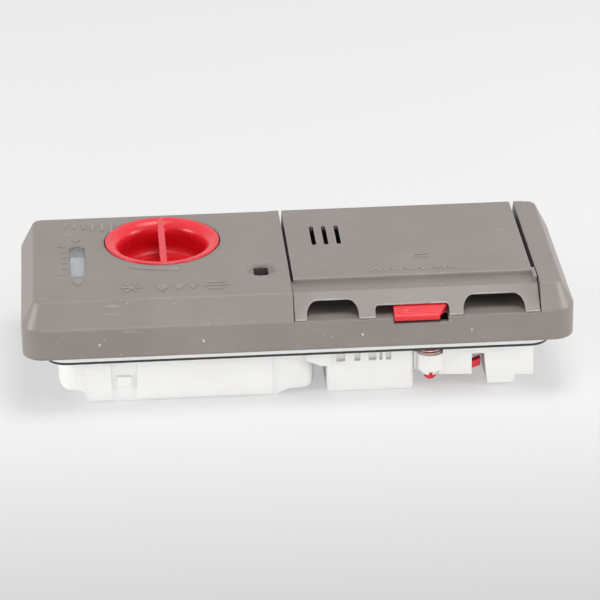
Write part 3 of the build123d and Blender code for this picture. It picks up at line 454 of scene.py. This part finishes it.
def risen(mesh, faces, look):
    grown = bmesh.ops.extrude_face_region(mesh, geom=faces)["geom"]
    top = [item for item in grown if isinstance(item, bmesh.types.BMFace)]
    lifted = [item for item in grown if isinstance(item, bmesh.types.BMVert)]
    bmesh.ops.translate(mesh, verts=lifted, vec=(0, 0, look["height"]))
    edges = {edge for face in top for edge in face.edges}
    rim = [edge for edge in edges if any(face not in top for face in edge.link_faces)]
    bmesh.ops.bevel(
        mesh, geom=rim, offset=look["soft"], segments=look["softSteps"], profile=0.5, affect="EDGES",
        material=-1)


def newFaces(mesh, before):
    return [face for face in mesh.faces if face not in before]


def plate(mesh, wide, deep, place, corner, steps):
    before = set(mesh.faces)
    made = bmesh.ops.create_grid(mesh, x_segments=1, y_segments=1, size=0.5)["verts"]  # a unit square
    bmesh.ops.transform(mesh, verts=made, matrix=place @ Matrix.Diagonal((wide * mm, deep * mm, 1, 1)))
    bmesh.ops.bevel(
        mesh, geom=made, offset=corner * mm, segments=steps, profile=0.5, affect="VERTICES", material=-1)
    return newFaces(mesh, before)


def barMark(mesh, look, x, y, length, width, turn=0.0, lower=0.0):
    place = Matrix.Translation((x * mm, y * mm, 0)) @ Matrix.Rotation(math.radians(turn), 4, "Z")
    faces = plate(mesh, length, width, place, width * look["barCorner"], look["barSteps"])
    risen(mesh, faces, dict(look, height=look["height"] - lower))


def ringMark(mesh, look, x, y, wide, deep, corner, line):
    place = Matrix.Translation((x * mm, y * mm, 0))
    middle = plate(mesh, wide, deep, place, corner, look["ringSteps"])
    band = bmesh.ops.inset_region(mesh, faces=middle, thickness=line * mm)["faces"]
    bmesh.ops.delete(mesh, geom=middle, context="FACES_ONLY")
    risen(mesh, band, look)


def dropMark(mesh, look, x, y, radius):
    made = bmesh.ops.create_circle(
        mesh, cap_ends=True, segments=look["dropSides"], radius=radius * mm)["verts"]
    face = made[0].link_faces[0]
    tall = sorted(made, key=lambda vert: -vert.co.y)
    for few, share in zip((tall[:1], tall[1:3], tall[3:5]), look["dropTip"]):
        bmesh.ops.translate(mesh, verts=few, vec=(0, radius * share * mm, 0))
    bmesh.ops.rotate(mesh, verts=made, cent=(0, 0, 0), matrix=Matrix.Rotation(math.pi, 3, "Z"))
    bmesh.ops.translate(mesh, verts=made, vec=(x * mm, y * mm, 0))
    risen(mesh, [face], look)


def arcMark(mesh, look, x, y, radius, width, start, sweep):
    ends = [mesh.verts.new(((radius + side * width / 2) * mm, 0, 0)) for side in (-1, 1)]
    edge = mesh.edges.new(ends)
    before = set(mesh.faces)
    centre = (x * mm, y * mm, 0)
    bmesh.ops.rotate(mesh, verts=ends, cent=(0, 0, 0), matrix=Matrix.Rotation(math.radians(start), 3, "Z"))
    bmesh.ops.translate(mesh, verts=ends, vec=centre)
    bmesh.ops.spin(
        mesh, geom=ends + [edge], cent=centre, axis=(0, 0, 1), angle=math.radians(sweep),
        steps=look["arcSteps"], use_merge=False, use_duplicate=False)
    risen(mesh, newFaces(mesh, before), look)


def chevronMark(mesh, look, x, y, reach, width, aim):
    for side in (-1, 1):
        turn = aim + side * look["chevronOpen"]
        away, shift = math.radians(turn), reach * look["chevronShift"]
        barMark(  # each arm a little lower than the last, so that no two tops share a plane
            mesh, look, x + math.cos(away) * shift, y + math.sin(away) * shift, reach, width, turn,
            (side + 2) * look["under"])


panelMarkLook = dict(
    doseX=-104.0, doseY=38.5, doseStep=4.3, doseCount=6, doseLow=3.2, doseGrow=1.5, doseWidth=1.5,
    tickX=-105.6, tickFrom=-17.0, tickStep=6.2, tickCount=6, tickLong=4.2, tickShort=2.6, tickWidth=1.0,
    drops=(
        (-99.0, 21.0, 1.7), (-99.0, -25.2, 2.4), (-61.0, -34.6, 2.6), (-53.5, -34.6, 2.1),
        (-47.0, -34.6, 1.7)),
    starX=-75.0, starY=-34.2, starReach=10.0, starWidth=1.1, starBars=3, starTurn=60,
    shineX=-36.5, shineY=-34.6, shineStep=3.0, shineWidth=1.2, shineLengths=(8.0, 11.0, 8.0),
    arcRadius=32.0, arcWidth=1.3, arcStart=240.0, arcSweep=42.0, arcTip=4.4)


def panelMarks():
    look = panelMarkLook
    mesh = bmesh.new()
    for step in range(look["doseCount"]):  # a row of bars that grow, for the dose
        tall = look["doseLow"] + step * look["doseGrow"]
        barMark(
            mesh, markLook, look["doseX"] + step * look["doseStep"], look["doseY"] - tall / 2, tall,
            look["doseWidth"], upright)
    for step in range(look["tickCount"]):  # level ticks beside the window
        long = look["tickLong"] if step in (0, look["tickCount"] - 1) else look["tickShort"]
        barMark(
            mesh, markLook, look["tickX"] + (look["tickLong"] - long) / 2,
            look["tickFrom"] + step * look["tickStep"], long, look["tickWidth"])
    for x, y, radius in look["drops"]:
        dropMark(mesh, markLook, x, y, radius)
    for step in range(look["starBars"]):  # a six-armed sparkle
        barMark(
            mesh, markLook, look["starX"], look["starY"], look["starReach"], look["starWidth"],
            step * look["starTurn"], step * markLook["under"])
    for step, long in enumerate(look["shineLengths"]):
        y = look["shineY"] + (step - 1) * look["shineStep"]
        barMark(mesh, markLook, look["shineX"], y, long, look["shineWidth"])
    low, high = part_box("rinse_cap")  # the way the cap turns
    capX, capY = (low.x + high.x) / 2 / mm, (low.y + high.y) / 2 / mm
    radius, width = look["arcRadius"], look["arcWidth"]
    arcMark(mesh, markLook, capX, capY, radius, width, look["arcStart"], look["arcSweep"])
    tip = math.radians(look["arcStart"] + look["arcSweep"])
    chevronMark(
        mesh, markLook, capX + radius * math.cos(tip), capY + radius * math.sin(tip), look["arcTip"], width,
        math.degrees(tip) + upright)
    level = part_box("face_panel")[1].z - markLook["sink"]
    bmesh.ops.translate(mesh, verts=mesh.verts, vec=(0, 0, level))
    newPiece("panelMarks", mesh, "housing", markGrey)


lidMarkLook = dict(
    tabletX=59.0, tabletY=-11.5, tabletWide=13.0, tabletDeep=9.0, tabletCorner=2.6, tabletLine=1.1,
    barRise=1.4, barLong=6.5, barWidth=1.0,
    arrowX=36.6, arrowY=-23.9, arrowStep=6.6, arrowCount=6, arrowReach=4.2, arrowWidth=1.2)


def lidMarks():
    look = lidMarkLook
    mesh = bmesh.new()
    ringMark(
        mesh, markLook, look["tabletX"], look["tabletY"], look["tabletWide"], look["tabletDeep"],
        look["tabletCorner"], look["tabletLine"])
    for side in (-1, 1):
        y = look["tabletY"] + side * look["barRise"]
        barMark(mesh, markLook, look["tabletX"], y, look["barLong"], look["barWidth"])
    for step in range(look["arrowCount"]):
        x = look["arrowX"] + step * look["arrowStep"]
        chevronMark(mesh, markLook, x, look["arrowY"], look["arrowReach"], look["arrowWidth"], upright)
    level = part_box("detergent_lid")[1].z - markLook["sink"]
    bmesh.ops.translate(mesh, verts=mesh.verts, vec=(0, 0, level))
    newPiece("lidMarks", mesh, "lid", markGrey)


wallMarkLook = dict(
    x=(-90.2, -43.6, 28.1, 77.6), z=32.2, ring=2.7, ringCorner=0.48, line=0.55, tipRise=2.5, tip=0.55,
    height=0.4 * mm, soft=0.08 * mm)


def wallMarks():
    look = wallMarkLook
    raised = dict(markLook, height=look["height"], soft=look["soft"])
    ring = look["ring"]
    mesh = bmesh.new()
    for x in look["x"]:
        ringMark(mesh, raised, x, look["z"], ring, ring, ring * look["ringCorner"], look["line"])
        dropMark(mesh, raised, x, look["z"] + look["tipRise"], look["tip"])
    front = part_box("face_panel")[0].y + markLook["sink"]
    bmesh.ops.rotate(mesh, verts=mesh.verts, cent=(0, 0, 0), matrix=Matrix.Rotation(math.pi / 2, 3, "X"))
    bmesh.ops.translate(mesh, verts=mesh.verts, vec=(0, front, 0))
    # the wall marks take a pale grey that paints their highlight
    newPiece("wallMarks", mesh, "housing", wallMarkHighlightGrey)


panelMarks()
lidMarks()
wallMarks()
print("raised marks set")


# Floor, light and camera
stageLook = dict(
    size=6.0, paperShine=0.1, paperRough=0.9, nearY=-0.36, farY=-0.05,
    # painted shade: floor colour and glow darker near the camera
    shadedNearPaper=colour(0.53, 0.53, 0.525), farPaper=colour(0.82, 0.82, 0.815),
    shadedNearGlow=colour(0.40, 0.40, 0.395), farGlow=colour(0.98, 0.98, 0.98), glow=0.42,
    ambient=0.36, backdrop=0.96)


def backdropRays(finish):
    # what the camera sees itself, or in a shiny or clear surface
    names = ("Is Camera Ray", "Is Glossy Ray", "Is Transmission Ray")
    camera, shiny, clear = (finish.node("LightPath", out=name) for name in names)
    return finish.step(camera + shiny + clear, 0.0, 1.0)


def studio():
    look = stageLook
    finish = Finish("floorPaper", Specular_IOR_Level=look["paperShine"], Roughness=look["paperRough"])
    depth = finish.node("SeparateXYZ", None, {"Vector": finish.place()}, "Y")
    away = finish.step(depth, look["nearY"], look["farY"])  # painted shade: paper darker towards the camera
    finish.set(Base_Color=finish.blend(away, look["shadedNearPaper"], look["farPaper"]))
    # painted shade: the glow is also darker towards the camera
    seen = finish.blend(away, look["shadedNearGlow"], look["farGlow"])
    glow = finish.node("Emission", None, {"Color": seen, "Strength": 1.0})
    mixed = finish.node("MixShader", None, {
        "Fac": backdropRays(finish) * look["glow"], 1: Wire(finish, finish.shader.outputs[0]), 2: glow})
    finish.plug(finish.tree.nodes["Material Output"].inputs["Surface"], mixed)
    mesh = bmesh.new()
    bmesh.ops.create_grid(mesh, x_segments=1, y_segments=1, size=look["size"])
    newObject("floor", mesh, finish.material)
    sky = Sky("studio")
    bpy.context.scene.world = sky.world
    strength = backdropRays(sky) * (look["backdrop"] - look["ambient"]) + look["ambient"]
    sky.plug(sky.background.inputs["Strength"], strength)


lampLook = {
    "topLamp": dict(place=(0.20, -0.05, 1.45), aim=(0.0, 0.0, 0.04), size=0.7, power=9.5),
    "leftLamp": dict(place=(-1.45, -0.40, 0.40), aim=(0.0, 0.0, 0.03), size=0.7, power=12.0),
    "rightLamp": dict(place=(1.45, -0.50, 0.50), aim=(0.1, 0.0, 0.03), size=0.7, power=12.0),
    "frontLamp": dict(place=(-0.10, -1.95, 0.12), aim=(0.0, 0.0, 0.02), size=0.7, power=13.5),
}


def lamps():
    for name, look in lampLook.items():
        light = bpy.data.lights.new(name, "AREA")
        light.shape = "SQUARE"
        light.size = look["size"]
        light.energy = look["power"]
        lamp = bpy.data.objects.new(name, light)
        bpy.context.scene.collection.objects.link(lamp)
        lamp.location = look["place"]
        aim = Vector(look["aim"]) - Vector(look["place"])
        lamp.rotation_euler = aim.to_track_quat("-Z", "Y").to_euler()


cameraLook = dict(
    target=(0.0, 0.0, 0.028), distance=1.5215, elevation=25.234, azimuth=-3.934, roll=-0.671,
    lens=196.36, sensor=36.0, shiftX=0.01314, shiftY=0.0018)


def camera():
    look = cameraLook
    up, side, roll = (math.radians(look[key]) for key in ("elevation", "azimuth", "roll"))
    back = Vector((math.sin(side) * math.cos(up), -math.cos(side) * math.cos(up), math.sin(up)))
    right = (-back).cross(Vector((0, 0, 1))).normalized()
    top = right.cross(-back)
    rolledRight = right * math.cos(roll) + top * math.sin(roll)
    rolledTop = top * math.cos(roll) - right * math.sin(roll)
    data = bpy.data.cameras.new("camera")
    data.lens = look["lens"]
    data.sensor_width = look["sensor"]
    data.sensor_fit = "HORIZONTAL"
    data.shift_x = look["shiftX"]
    data.shift_y = look["shiftY"]
    made = bpy.data.objects.new("camera", data)
    bpy.context.scene.collection.objects.link(made)
    axes = Matrix((rolledRight, rolledTop, back)).transposed().to_4x4()
    made.matrix_world = Matrix.Translation(Vector(look["target"]) + back * look["distance"]) @ axes
    bpy.context.scene.camera = made


studio()
lamps()
camera()
bpy.context.scene.view_settings.view_transform = "Standard"
print("studio set")
